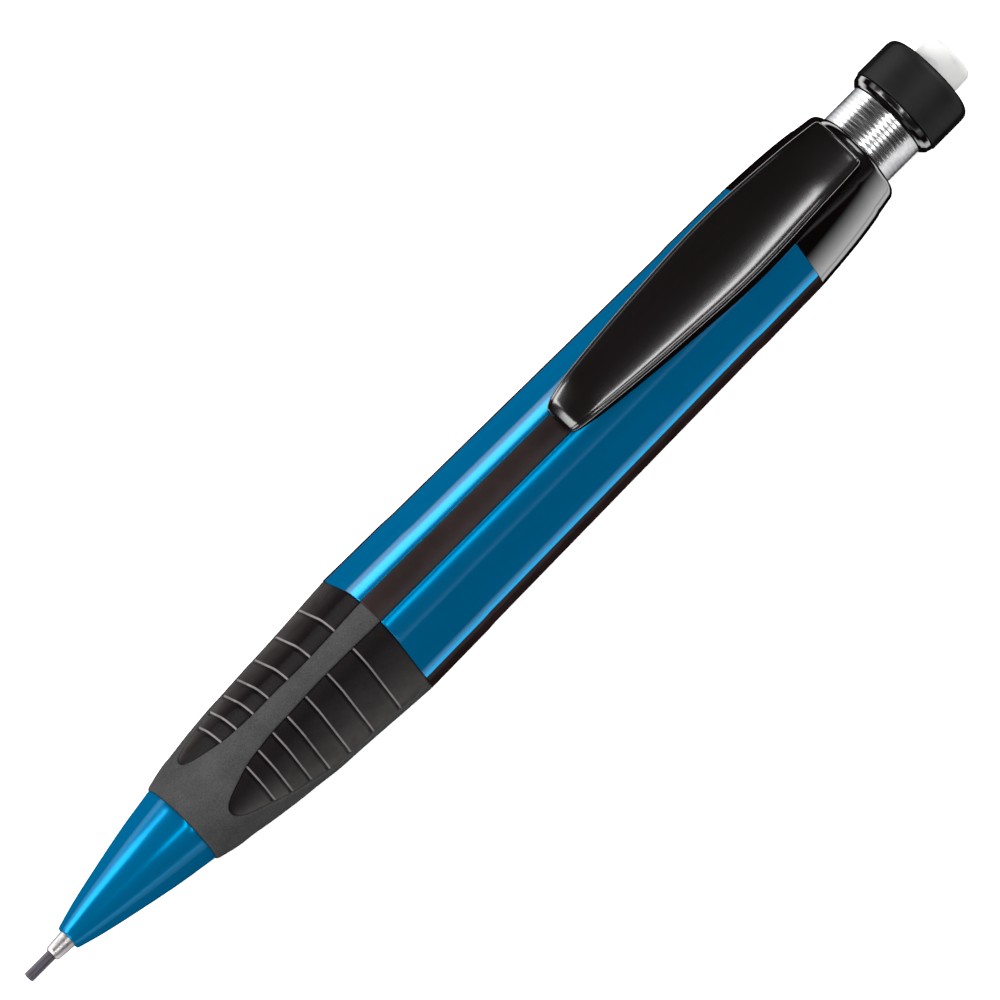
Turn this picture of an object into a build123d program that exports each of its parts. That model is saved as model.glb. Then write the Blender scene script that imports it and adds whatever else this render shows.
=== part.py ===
"""Mechanical pencil with a soft triangular body, a sprung push button and a twist-out eraser.

The pencil lies along X, its writing end towards -X and its clip up (+Z).  Every station is a
distance from the point of the lead, in millimetres.  The origin is below the middle of the
pencil, on the surface that it lies on.
"""

import os
from math import cos, radians, sin

from build123d import *

os.makedirs("parts", exist_ok=True)

# ---------------------------------------------------------------- driving dimensions
LENGTH = 147.5
AXIS_HEIGHT = 7.22

# stations along the pencil
TIP_SLEEVE_START = 3.7
NOSE_START = 6.3
TIP_FLANGE_START = 10.4
TIP_FLANGE_END = 11.4
NOSE_MIDDLE = 14.6
GRIP_START = 24.4
GRIP_END = 55.2
CAP_START = 118.7
CAP_END = 131.9
COLLAR_START = 137.1
KNOB_START = 138.3
KNOB_END = 144.2

# the soft triangle: distance of its corner centres from the axis, and radius of its corners
GRIP_SECTIONS = [
    (GRIP_START, 0.10, 5.45),
    (28.2, 0.30, 6.05),
    (31.6, 0.96, 5.94),
    (35.0, 1.75, 5.68),
    (38.3, 2.69, 5.15),
    (42.5, 3.55, 4.78),
    (GRIP_END, 3.92, 5.26),
]
BARREL_FRONT = (3.92, 5.26)
BARREL_REAR = (3.36, 4.94)
CAP_SECTIONS = [
    (CAP_START, 3.36, 4.94),
    (123.2, 2.79, 5.12),
    (126.6, 2.27, 5.22),
    (CAP_END, 1.45, 5.10),
]
CORNERS = {"top": 90, "right": 210, "left": 330}

# barrel: front spigot that the nose cone turns on, wall around the mechanism, wide rear bore
SPIGOT_BORE = 3.72
SPIGOT_END = 32.4
CORE_RADIUS = 4.6
CORE_BORE = 3.05
CORE_END = 57.0
REAR_BORE_START = 59.0
REAR_BORE = 5.4
CAP_SPIGOT_START = 112.0
CAP_SPIGOT_RADIUS = 5.35
CAP_BORE = 5.12
CAP_ROUND = 0.8

# inlaid strips along the barrel's corners
STRIP_DEPTH = 0.6
STRIP_HALF_ANGLE = {"top": 18.5, "right": 57.0, "left": 57.0}

# ribbed pads let into the three faces of the grip
GRIP_LIP = 0.6
PAD_DEPTH = 1.2
PAD_RECESS = 0.25
PAD_FACES = {"left": 30, "bottom": 270}
PAD_PRISM_START = 2.6
PAD_PRISM_DEPTH = 12.0
RIDGE_WEB = 1.4
# side pads seen face on: (station, height towards the top corner) from the tip of the tongue
PAD_TIP = (28.5, 2.1)
PAD_UPPER_EDGE = [(31.0, 4.0), (34.5, 5.2), (45.0, 6.5), (GRIP_END, 6.95)]
PAD_LOWER_EDGE = [(30.0, 0.2), (32.5, -1.0), (37.8, -3.4), (41.5, -4.7), (GRIP_END, -5.5)]
BOTTOM_PAD_WIDTH = 10.8
BOTTOM_PAD_SHOULDER = 36.0
GROOVE_STATIONS = [33.1, 35.3, 37.8, 40.2, 43.2, 46.7, 50.7]
GROOVE_WIDTH = 0.5
GROOVE_DEPTH = 0.35

# lead, tip and nose cone
LEAD_RADIUS = 0.65
LEAD_LENGTH = 60.0
LEAD_CHAMFER = 0.15
TIP_BORE = 0.70
TIP_RADIUS = 1.12
TIP_FLANGE_RADIUS = 1.60
NOSE_MIDDLE_RADIUS = 3.56
NOSE_REAR_RADIUS = 5.28
NOSE_SPIGOT_RADIUS = 3.65
NOSE_SPIGOT_END = 32.0
# steps of the nose cone's bore, from the rear: (station where it narrows, radius behind it)
NOSE_BORE_STEPS = [(21.5, 3.05), (17.5, 2.72), (14.2, 2.05), (TIP_FLANGE_END, 1.75)]

# lead mechanism
RETAINER_START = 11.45
RETAINER_END = 14.0
RETAINER_RADIUS = 1.73
CHUCK_START = 17.0
CHUCK_RADIUS = 1.3
CHUCK_HEAD_END = 18.8
CHUCK_HEAD_RADIUS = 1.9
CHUCK_NECK_START = 20.6
CHUCK_SLIT_LENGTH = 9.5
CLUTCH_START = 18.6
CLUTCH_END = 21.4
CLUTCH_RADIUS = 2.6
CLUTCH_BORE = 2.0
CLUTCH_CHAMFER = 0.15
CHUCK_END = 34.0
CHUCK_BORE = 0.68
CHUCK_SLIT = 0.3
SLEEVE_START = 21.6
SLEEVE_END = 33.4
SLEEVE_RADIUS = 3.0
SLEEVE_BORE = 2.35
SPRING_START = 22.25
SPRING_END = 31.5
SPRING_RADIUS = 1.85
SPRING_WIRE_RADIUS = 0.2
SPRING_TURNS = 8
CONNECTOR_START = 31.6
CONNECTOR_RADIUS = 2.2
CONNECTOR_END = 40.0
TUBE_START = 36.2
TUBE_END = 106.0
TUBE_RADIUS = 2.9
TUBE_BORE = 2.4
SPARE_LEAD_START = 42.0
SPARE_LEAD_OFFSET = 1.55

# push button and twist eraser
PLUG_START = 103.0
PLUG_END = 112.0
PLUG_RADIUS = 2.36
BUTTON_START = 107.0
BUTTON_END = 137.0
BUTTON_RADIUS = 5.04
BUTTON_BORE = 4.4
COLLAR_RADIUS = 5.9
KNOB_RADIUS = 6.05
KNOB_BORE = 3.35
TWIST_TUBE_START = 113.0
TWIST_TUBE_END = 141.0
TWIST_TUBE_RADIUS = 4.3
TWIST_TUBE_BORE = 3.75
CARRIER_START = 116.0
CARRIER_END = 121.0
CARRIER_RADIUS = 3.7
ERASER_START = 117.0
ERASER_RADIUS = 3.2

# clip: half widths seen from above, then heights above the pencil's axis seen from the side
CLIP_START = 85.1
CLIP_END = 130.1
CLIP_HALF_WIDTHS = [
    (86.4, 2.45), (90.0, 3.02), (101.3, 3.99), (112.6, 4.56), (123.9, 4.02), (129.6, 3.56)
]
CLIP_CROWN = [
    (CLIP_START, 9.6), (86.6, 11.0), (90.0, 11.7), (112.0, 11.95), (123.0, 11.4), (129.6, 10.45)
]
CLIP_LOWER_EDGE = [(CLIP_END, 7.25), (120.0, 7.45), (111.6, 7.85), (94.6, 8.9), (87.0, 9.35)]
CLIP_ROOT_CORNER = 3.1
CLIP_WALL = 1.1
CLIP_HOLLOW = (6.0, 9.4)
CLIP_FOOT = (122.0, 126.0)
CLIP_FOOT_BOTTOM = 6.75
CLIP_FOOT_WIDTH = 2.4
CLIP_FOOT_GAP = 0.4

# ---------------------------------------------------------------- planes and shapes
LENGTHWISE = Plane(origin=(-LENGTH / 2, 0, AXIS_HEIGHT), x_dir=(1, 0, 0), z_dir=(0, -1, 0))
FROM_ABOVE = Plane(origin=(-LENGTH / 2, 0, AXIS_HEIGHT), x_dir=(1, 0, 0), z_dir=(0, 0, 1))
PENCIL_AXIS = Axis((-LENGTH / 2, 0, AXIS_HEIGHT), (1, 0, 0))


def across(station):
    """Plane square to the pencil's axis: sketch x is the pencil's Y, sketch y is its Z."""
    origin = (station - LENGTH / 2, 0, AXIS_HEIGHT)
    return Plane(origin=origin, x_dir=(0, 1, 0), z_dir=(1, 0, 0))


def corner_centre(direction, spread):
    return (spread * cos(radians(direction)), spread * sin(radians(direction)))


class SoftTriangle(BaseSketchObject):
    """Triangle of three flats and three wide corner arcs, with one corner up."""

    def __init__(self, spread, corner_radius, mode=Mode.ADD):
        with BuildSketch() as outline:
            with BuildLine():
                arcs = [
                    CenterArc(corner_centre(direction, spread), corner_radius, direction - 60, 120)
                    for direction in CORNERS.values()
                ]
                for arc, next_arc in zip(arcs, arcs[1:] + arcs[:1]):
                    Line(arc @ 1, next_arc @ 0)
            make_face()
        super().__init__(obj=outline.sketch, rotation=0, align=None, mode=mode)


class CornerBand(BaseSketchObject):
    """Slice of ring about one corner centre of the soft triangle."""

    def __init__(self, direction, spread, inner_radius, outer_radius, half_angle, mode=Mode.ADD):
        centre = corner_centre(direction, spread)
        start = direction - half_angle
        with BuildSketch() as outline:
            with BuildLine():
                inner = CenterArc(centre, inner_radius, start, 2 * half_angle)
                outer = CenterArc(centre, outer_radius, start, 2 * half_angle)
                Line(inner @ 0, outer @ 0)
                Line(inner @ 1, outer @ 1)
            make_face()
        super().__init__(obj=outline.sketch, rotation=0, align=None, mode=mode)


class Turning(BaseSketchObject):
    """Half profile of a turned piece, as (station, radius) points to revolve about the axis."""

    def __init__(self, *points, mode=Mode.ADD):
        with BuildSketch() as outline:
            with BuildLine():
                Polyline(*points, close=True)
            make_face()
        super().__init__(obj=outline.sketch, rotation=0, align=None, mode=mode)


def section_at(sections, station):
    """Corner distance and corner radius of the soft triangle at a station."""
    for (start, spread_0, radius_0), (end, spread_1, radius_1) in zip(sections, sections[1:]):
        if start <= station <= end:
            share = (station - start) / (end - start)
            return spread_0 + share * (spread_1 - spread_0), radius_0 + share * (radius_1 - radius_0)


# ---------------------------------------------------------------- writing end
with BuildPart() as lead:
    with BuildSketch(LENGTHWISE):
        Turning(
            (0, 0),
            (0, LEAD_RADIUS - LEAD_CHAMFER),
            (LEAD_CHAMFER, LEAD_RADIUS),
            (LEAD_LENGTH, LEAD_RADIUS),
            (LEAD_LENGTH, 0),
        )
    revolve(axis=PENCIL_AXIS)

with BuildPart() as tip_sleeve:
    with BuildSketch(LENGTHWISE):
        Turning(
            (TIP_SLEEVE_START, TIP_BORE),
            (TIP_SLEEVE_START, TIP_RADIUS - 0.28),
            (TIP_SLEEVE_START + 0.4, TIP_RADIUS - 0.14),
            (NOSE_START, TIP_RADIUS),
            (TIP_FLANGE_START, TIP_RADIUS),
            (TIP_FLANGE_START, TIP_FLANGE_RADIUS),
            (TIP_FLANGE_END, TIP_FLANGE_RADIUS),
            (TIP_FLANGE_END, TIP_BORE),
        )
    revolve(axis=PENCIL_AXIS)

with BuildPart() as lead_retainer:
    with BuildSketch(LENGTHWISE):
        Turning(
            (RETAINER_START, LEAD_RADIUS + 0.02),
            (RETAINER_START, RETAINER_RADIUS),
            (RETAINER_END, RETAINER_RADIUS),
            (RETAINER_END, 1.0),
            (RETAINER_END - 0.6, LEAD_RADIUS + 0.02),
        )
    revolve(axis=PENCIL_AXIS)

with BuildPart() as nose_cone:
    with BuildSketch(LENGTHWISE):
        with BuildLine():
            front = Line((NOSE_START, TIP_RADIUS), (NOSE_START, TIP_RADIUS + 0.35))
            rim = ThreePointArc(
                front @ 1,
                (NOSE_START + 0.05, TIP_RADIUS + 0.43),
                (NOSE_START + 0.2, TIP_RADIUS + 0.5),
            )
            flank = ThreePointArc(
                rim @ 1, (NOSE_MIDDLE, NOSE_MIDDLE_RADIUS), (GRIP_START, NOSE_REAR_RADIUS)
            )
            bore = [(NOSE_SPIGOT_END, NOSE_BORE_STEPS[0][1])]
            for (station, radius), narrower in zip(
                NOSE_BORE_STEPS, [step[1] for step in NOSE_BORE_STEPS[1:]] + [TIP_FLANGE_RADIUS]
            ):
                bore += [(station, radius), (station, narrower)]
            Polyline(
                flank @ 1,
                (GRIP_START, NOSE_SPIGOT_RADIUS),
                (NOSE_SPIGOT_END, NOSE_SPIGOT_RADIUS),
                *bore,
                (TIP_FLANGE_START, TIP_FLANGE_RADIUS),
                (TIP_FLANGE_START, TIP_RADIUS),
                front @ 0,
            )
        make_face()
    revolve(axis=PENCIL_AXIS)

# ---------------------------------------------------------------- lead mechanism
with BuildPart() as chuck:
    with BuildSketch(LENGTHWISE):
        Turning(
            (CHUCK_START, CHUCK_BORE),
            (CHUCK_START, CHUCK_HEAD_RADIUS - 0.3),
            (CHUCK_START + 0.4, CHUCK_HEAD_RADIUS),
            (CHUCK_HEAD_END, CHUCK_HEAD_RADIUS),
            (CHUCK_NECK_START, CHUCK_RADIUS),
            (CHUCK_END, CHUCK_RADIUS),
            (CHUCK_END, CHUCK_BORE),
        )
    revolve(axis=PENCIL_AXIS)
    # three slits part the head into jaws
    for direction in CORNERS.values():
        with BuildSketch(across(CHUCK_START)):
            with PolarLocations(CHUCK_RADIUS, 1, start_angle=direction):
                Rectangle(2.0, CHUCK_SLIT)
        extrude(amount=CHUCK_SLIT_LENGTH, mode=Mode.SUBTRACT)

with BuildPart() as clutch_ring:
    with BuildSketch(LENGTHWISE):
        Turning(
            (CLUTCH_START, CLUTCH_BORE),
            (CLUTCH_START, CLUTCH_RADIUS - CLUTCH_CHAMFER),
            (CLUTCH_START + CLUTCH_CHAMFER, CLUTCH_RADIUS),
            (CLUTCH_END - CLUTCH_CHAMFER, CLUTCH_RADIUS),
            (CLUTCH_END, CLUTCH_RADIUS - CLUTCH_CHAMFER),
            (CLUTCH_END, CLUTCH_BORE),
        )
    revolve(axis=PENCIL_AXIS)

with BuildPart() as mechanism_sleeve:
    with BuildSketch(LENGTHWISE):
        Turning(
            (SLEEVE_START, CHUCK_RADIUS + 0.15),
            (SLEEVE_START, SLEEVE_RADIUS),
            (SLEEVE_END, SLEEVE_RADIUS),
            (SLEEVE_END, SLEEVE_BORE),
            (SLEEVE_START + 0.6, SLEEVE_BORE),
            (SLEEVE_START + 0.6, CHUCK_RADIUS + 0.15),
        )
    revolve(axis=PENCIL_AXIS)

with BuildPart() as return_spring:
    coil_length = SPRING_END - SPRING_START - 2 * SPRING_WIRE_RADIUS
    coil_start = SPRING_START + SPRING_WIRE_RADIUS - LENGTH / 2
    with BuildLine():
        coil = Helix(
            pitch=coil_length / SPRING_TURNS,
            height=coil_length,
            radius=SPRING_RADIUS,
            center=(coil_start, 0, AXIS_HEIGHT),
            direction=(1, 0, 0),
        )
    with BuildSketch(Plane(origin=coil @ 0, z_dir=coil % 0)):
        Circle(SPRING_WIRE_RADIUS)
    sweep(is_frenet=True)

with BuildPart() as chuck_connector:
    with BuildSketch(LENGTHWISE):
        Turning(
            (CONNECTOR_START, CHUCK_RADIUS),
            (CONNECTOR_START, CONNECTOR_RADIUS),
            (TUBE_START, CONNECTOR_RADIUS),
            (TUBE_START, TUBE_BORE),
            (CONNECTOR_END, TUBE_BORE),
            (CONNECTOR_END, LEAD_RADIUS + 0.15),
            (CHUCK_END, LEAD_RADIUS + 0.15),
            (CHUCK_END, CHUCK_RADIUS),
        )
    revolve(axis=PENCIL_AXIS)

with BuildPart() as reservoir_tube:
    with BuildSketch(LENGTHWISE):
        Turning(
            (TUBE_START, TUBE_BORE),
            (TUBE_START, TUBE_RADIUS),
            (TUBE_END, TUBE_RADIUS),
            (TUBE_END, TUBE_BORE),
        )
    revolve(axis=PENCIL_AXIS)

spare_leads = {}
for side, offset in {"left": SPARE_LEAD_OFFSET, "right": -SPARE_LEAD_OFFSET}.items():
    with BuildPart() as spare_lead:
        with BuildSketch(across(SPARE_LEAD_START)):
            with Locations((offset, 0)):
                Circle(LEAD_RADIUS)
        extrude(amount=LEAD_LENGTH)
    spare_leads[f"spare_lead_{side}"] = spare_lead

# ---------------------------------------------------------------- barrel and its strips
with BuildPart() as barrel:
    for station, (spread, corner_radius) in ((GRIP_END, BARREL_FRONT), (CAP_START, BARREL_REAR)):
        with BuildSketch(across(station)):
            SoftTriangle(spread, corner_radius)
    loft(ruled=True)
    # round core that carries the grip, then the bores for the mechanism and the end cap
    with BuildSketch(LENGTHWISE):
        Turning(
            (GRIP_START + GRIP_LIP, 0),
            (GRIP_START + GRIP_LIP, CORE_RADIUS),
            (GRIP_END, CORE_RADIUS),
            (GRIP_END, 0),
        )
    revolve(axis=PENCIL_AXIS)
    with BuildSketch(LENGTHWISE):
        Turning(
            (GRIP_START, 0),
            (GRIP_START, SPIGOT_BORE),
            (SPIGOT_END, SPIGOT_BORE),
            (SPIGOT_END, CORE_BORE),
            (CORE_END, CORE_BORE),
            (REAR_BORE_START, REAR_BORE),
            (CAP_START, REAR_BORE),
            (CAP_START, 0),
        )
    revolve(axis=PENCIL_AXIS, mode=Mode.SUBTRACT)
    for name, direction in CORNERS.items():
        for station, (spread, corner_radius) in (
            (GRIP_END, BARREL_FRONT),
            (CAP_START, BARREL_REAR),
        ):
            with BuildSketch(across(station)):
                CornerBand(
                    direction,
                    spread,
                    corner_radius - STRIP_DEPTH,
                    corner_radius + 1,
                    STRIP_HALF_ANGLE[name],
                )
        loft(ruled=True, mode=Mode.SUBTRACT)

strips = {}
for name, direction in CORNERS.items():
    with BuildPart() as strip:
        for station, (spread, corner_radius) in (
            (GRIP_END, BARREL_FRONT),
            (CAP_START, BARREL_REAR),
        ):
            with BuildSketch(across(station)):
                CornerBand(
                    direction,
                    spread,
                    corner_radius - STRIP_DEPTH,
                    corner_radius,
                    STRIP_HALF_ANGLE[name],
                )
        loft(ruled=True)
    strips[f"barrel_strip_{name}"] = strip

# ---------------------------------------------------------------- grip
# prisms square to each face, whose outlines are the pads seen face on: a rounded tongue in front
pad_prisms = {}
for name, direction in PAD_FACES.items():
    outward = (0, cos(radians(direction)), sin(radians(direction)))
    face_on = Plane(origin=LENGTHWISE.origin, x_dir=(1, 0, 0), z_dir=outward).offset(PAD_PRISM_START)
    with BuildPart() as prism:
        with BuildSketch(face_on):
            with BuildLine():
                if name == "bottom":
                    half_width = BOTTOM_PAD_WIDTH / 2
                    tongue = EllipticalCenterArc(
                        (BOTTOM_PAD_SHOULDER, 0),
                        BOTTOM_PAD_SHOULDER - PAD_TIP[0],
                        half_width,
                        start_angle=90,
                        arc_size=180,
                    )
                    Polyline(
                        tongue @ 0, (GRIP_END, half_width), (GRIP_END, -half_width), tongue @ 1
                    )
                else:
                    upper = Spline(
                        *[(station, -height) for station, height in [PAD_TIP] + PAD_UPPER_EDGE],
                        tangents=[(0, -1), (1, 0)],
                    )
                    lower = Spline(
                        *[(station, -height) for station, height in [PAD_TIP] + PAD_LOWER_EDGE],
                        tangents=[(0, 1), (1, 0)],
                    )
                    Line(upper @ 1, lower @ 1)
            make_face()
        extrude(amount=PAD_PRISM_DEPTH)
        # a side pad stops short of the pencil's middle plane, inside the top ridge
        if name == "left":
            with BuildSketch(FROM_ABOVE):
                with Locations(((GRIP_START + GRIP_END) / 2, RIDGE_WEB / 2 - 10)):
                    Rectangle(2 * (GRIP_END - GRIP_START), 20)
            extrude(amount=14, mode=Mode.SUBTRACT)
    pad_prisms[name] = prism

with BuildPart() as mirrored_prism:
    mirror(pad_prisms["left"].part, about=Plane.XZ)
pad_prisms["right"] = mirrored_prism

with BuildPart() as grip_body:
    for station, spread, corner_radius in GRIP_SECTIONS:
        with BuildSketch(across(station)):
            SoftTriangle(spread, corner_radius)
    loft(ruled=True)

with BuildPart() as pad_skin:
    for station, spread, corner_radius in GRIP_SECTIONS:
        with BuildSketch(across(station)):
            SoftTriangle(spread, corner_radius - PAD_RECESS)
    loft(ruled=True)

with BuildPart() as grip_floor:
    for station, spread, corner_radius in GRIP_SECTIONS:
        with BuildSketch(across(station)):
            SoftTriangle(spread, corner_radius - PAD_DEPTH)
    loft(ruled=True)

pad_pockets = []
for prism in pad_prisms.values():
    with BuildPart() as pocket:
        add(prism.part)
        add(grip_floor.part, mode=Mode.SUBTRACT)
    pad_pockets.append(pocket)

with BuildPart() as grip_sleeve:
    add(grip_body.part)
    for pocket in pad_pockets:
        add(pocket.part, mode=Mode.SUBTRACT)
    with BuildSketch(LENGTHWISE):
        Turning(
            (GRIP_START, 0),
            (GRIP_START, SPIGOT_BORE),
            (GRIP_START + GRIP_LIP, SPIGOT_BORE),
            (GRIP_START + GRIP_LIP, CORE_RADIUS),
            (GRIP_END, CORE_RADIUS),
            (GRIP_END, 0),
        )
    revolve(axis=PENCIL_AXIS, mode=Mode.SUBTRACT)

pads = {}
for name in PAD_FACES:
    with BuildPart() as pad:
        add(pad_prisms[name].part)
        add(pad_skin.part, mode=Mode.INTERSECT)
        add(grip_floor.part, mode=Mode.SUBTRACT)
        for station in GROOVE_STATIONS:
            spread, corner_radius = section_at(GRIP_SECTIONS, station)
            with BuildSketch(across(station - GROOVE_WIDTH / 2)):
                Circle(14)
                SoftTriangle(spread, corner_radius - PAD_RECESS - GROOVE_DEPTH, mode=Mode.SUBTRACT)
            extrude(amount=GROOVE_WIDTH, mode=Mode.SUBTRACT)
    pads[f"grip_pad_{name}"] = pad

with BuildPart() as grip_pad_right:
    mirror(pads["grip_pad_left"].part, about=Plane.XZ)
pads["grip_pad_right"] = grip_pad_right

# ---------------------------------------------------------------- end cap and clip
with BuildPart() as end_cap:
    for station, spread, corner_radius in CAP_SECTIONS:
        with BuildSketch(across(station)):
            SoftTriangle(spread, corner_radius)
    loft()
    fillet(end_cap.faces().sort_by(Axis.X)[-1].edges(), radius=CAP_ROUND)
    with BuildSketch(LENGTHWISE):
        Turning(
            (CAP_SPIGOT_START, 0),
            (CAP_SPIGOT_START, CAP_SPIGOT_RADIUS),
            (CAP_START, CAP_SPIGOT_RADIUS),
            (CAP_START, 0),
        )
    revolve(axis=PENCIL_AXIS)
    with BuildSketch(LENGTHWISE):
        Turning(
            (CAP_SPIGOT_START, 0), (CAP_SPIGOT_START, CAP_BORE), (CAP_END, CAP_BORE), (CAP_END, 0)
        )
    revolve(axis=PENCIL_AXIS, mode=Mode.SUBTRACT)
    # pocket for the clip's foot
    with BuildSketch(FROM_ABOVE.offset(CLIP_FOOT_BOTTOM - CLIP_FOOT_GAP)):
        with Locations((sum(CLIP_FOOT) / 2, 0)):
            Rectangle(
                CLIP_FOOT[1] - CLIP_FOOT[0] + 2 * CLIP_FOOT_GAP, CLIP_FOOT_WIDTH + 2 * CLIP_FOOT_GAP
            )
    extrude(amount=4, mode=Mode.SUBTRACT)

with BuildPart() as clip:
    with BuildSketch(FROM_ABOVE):
        with BuildLine():
            for side in (1, -1):
                edge = Spline(*[(station, side * width) for station, width in CLIP_HALF_WIDTHS])
                ThreePointArc((CLIP_START, side * 1.4), (CLIP_START + 0.4, side * 2.1), edge @ 0)
                ThreePointArc(
                    edge @ 1, (CLIP_END - 0.1, side * 3.4), (CLIP_END, side * CLIP_ROOT_CORNER)
                )
            Line((CLIP_START, 1.4), (CLIP_START, -1.4))
            Line((CLIP_END, CLIP_ROOT_CORNER), (CLIP_END, -CLIP_ROOT_CORNER))
        make_face()
    extrude(amount=13)
    # side view: arched top, and the lower edges of the two side walls
    with BuildSketch(LENGTHWISE):
        with BuildLine():
            crown = Spline(*CLIP_CROWN)
            heel = ThreePointArc(crown @ 1, (CLIP_END - 0.12, 10.2), (CLIP_END, 9.85))
            under = Spline(*CLIP_LOWER_EDGE)
            Line(heel @ 1, under @ 0)
            Line(under @ 1, crown @ 0)
        make_face()
    extrude(amount=10, both=True, mode=Mode.INTERSECT)
    # hollow between the side walls, and the foot that sits in the end cap
    with BuildSketch(FROM_ABOVE.offset(CLIP_HOLLOW[0])):
        with BuildLine():
            inner_half_widths = [
                (station, width - CLIP_WALL) for station, width in CLIP_HALF_WIDTHS[1:]
            ]
            inner = [
                Spline(*[(station, side * width) for station, width in inner_half_widths])
                for side in (1, -1)
            ]
            Line(inner[0] @ 0, inner[1] @ 0)
            Line(inner[0] @ 1, inner[1] @ 1)
        make_face()
    extrude(amount=CLIP_HOLLOW[1] - CLIP_HOLLOW[0], mode=Mode.SUBTRACT)
    with BuildSketch(FROM_ABOVE.offset(CLIP_FOOT_BOTTOM)):
        with Locations((sum(CLIP_FOOT) / 2, 0)):
            Rectangle(CLIP_FOOT[1] - CLIP_FOOT[0], CLIP_FOOT_WIDTH)
    extrude(amount=3.5)

# ---------------------------------------------------------------- push button and twist eraser
with BuildPart() as lead_plug:
    with BuildSketch(LENGTHWISE):
        Turning(
            (PLUG_START, 0),
            (PLUG_START, PLUG_RADIUS - 0.2),
            (PLUG_START + 0.3, PLUG_RADIUS),
            (TUBE_END, PLUG_RADIUS),
            (TUBE_END, BUTTON_BORE - 1),
            (BUTTON_START + 0.6, BUTTON_BORE),
            (PLUG_END, BUTTON_BORE),
            (PLUG_END, 0),
        )
    revolve(axis=PENCIL_AXIS)

with BuildPart() as button_sleeve:
    with BuildSketch(LENGTHWISE):
        Turning(
            (BUTTON_START, BUTTON_BORE),
            (BUTTON_START, BUTTON_RADIUS - 0.2),
            (BUTTON_START + 0.2, BUTTON_RADIUS),
            (BUTTON_END, BUTTON_RADIUS),
            (BUTTON_END, BUTTON_BORE),
        )
    revolve(axis=PENCIL_AXIS)

with BuildPart() as twist_tube:
    with BuildSketch(LENGTHWISE):
        Turning(
            (TWIST_TUBE_START, TWIST_TUBE_BORE),
            (TWIST_TUBE_START, TWIST_TUBE_RADIUS),
            (TWIST_TUBE_END, TWIST_TUBE_RADIUS),
            (TWIST_TUBE_END, TWIST_TUBE_BORE),
        )
    revolve(axis=PENCIL_AXIS)

with BuildPart() as eraser_carrier:
    with BuildSketch(LENGTHWISE):
        Turning(
            (CARRIER_START, 0),
            (CARRIER_START, CARRIER_RADIUS),
            (CARRIER_END, CARRIER_RADIUS),
            (CARRIER_END, ERASER_RADIUS),
            (ERASER_START, ERASER_RADIUS),
            (ERASER_START, 0),
        )
    revolve(axis=PENCIL_AXIS)

with BuildPart() as eraser:
    with BuildSketch(LENGTHWISE):
        Turning(
            (ERASER_START, 0), (ERASER_START, ERASER_RADIUS), (LENGTH, ERASER_RADIUS), (LENGTH, 0)
        )
    revolve(axis=PENCIL_AXIS)
    fillet(eraser.faces().sort_by(Axis.X)[-1].edges(), radius=0.9)

with BuildPart() as knob_collar:
    with BuildSketch(LENGTHWISE):
        with BuildLine():
            face = Line((COLLAR_START, TWIST_TUBE_RADIUS), (COLLAR_START, COLLAR_RADIUS - 0.7))
            shoulder = ThreePointArc(
                face @ 1,
                (COLLAR_START + 0.25, COLLAR_RADIUS - 0.25),
                (COLLAR_START + 0.85, COLLAR_RADIUS),
            )
            Polyline(
                shoulder @ 1,
                (KNOB_START, COLLAR_RADIUS),
                (KNOB_START, TWIST_TUBE_RADIUS),
                face @ 0,
            )
        make_face()
    revolve(axis=PENCIL_AXIS)

with BuildPart() as knob:
    with BuildSketch(LENGTHWISE):
        Turning(
            (KNOB_START, TWIST_TUBE_RADIUS),
            (KNOB_START, KNOB_RADIUS),
            (KNOB_END, KNOB_RADIUS),
            (KNOB_END, KNOB_BORE),
            (TWIST_TUBE_END, KNOB_BORE),
            (TWIST_TUBE_END, TWIST_TUBE_RADIUS),
        )
    revolve(axis=PENCIL_AXIS)
    for end, radius in ((-1, 1.2), (0, 0.15)):
        rims = knob.edges().filter_by(GeomType.CIRCLE).group_by(SortBy.RADIUS)[-1]
        fillet(rims.sort_by(Axis.X)[end], radius=radius)

# ---------------------------------------------------------------- export
pieces = {
    "lead": lead,
    "tip_sleeve": tip_sleeve,
    "lead_retainer": lead_retainer,
    "nose_cone": nose_cone,
    "chuck": chuck,
    "clutch_ring": clutch_ring,
    "mechanism_sleeve": mechanism_sleeve,
    "return_spring": return_spring,
    "chuck_connector": chuck_connector,
    "reservoir_tube": reservoir_tube,
    **spare_leads,
    "barrel": barrel,
    **strips,
    "grip_sleeve": grip_sleeve,
    **pads,
    "end_cap": end_cap,
    "clip": clip,
    "lead_plug": lead_plug,
    "button_sleeve": button_sleeve,
    "twist_tube": twist_tube,
    "eraser_carrier": eraser_carrier,
    "eraser": eraser,
    "knob_collar": knob_collar,
    "knob": knob,
}
for name, piece in pieces.items():
    piece.part.label = name
    export_step(piece.part, f"parts/{name}.step")
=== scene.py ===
"""Looks of the mechanical pencil: detailed meshes, materials, floor, lights and camera."""

from math import atan2, cos, pi, radians, sin, sqrt, tan

import bmesh
import bpy
from mathutils import Matrix, Vector


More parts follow.
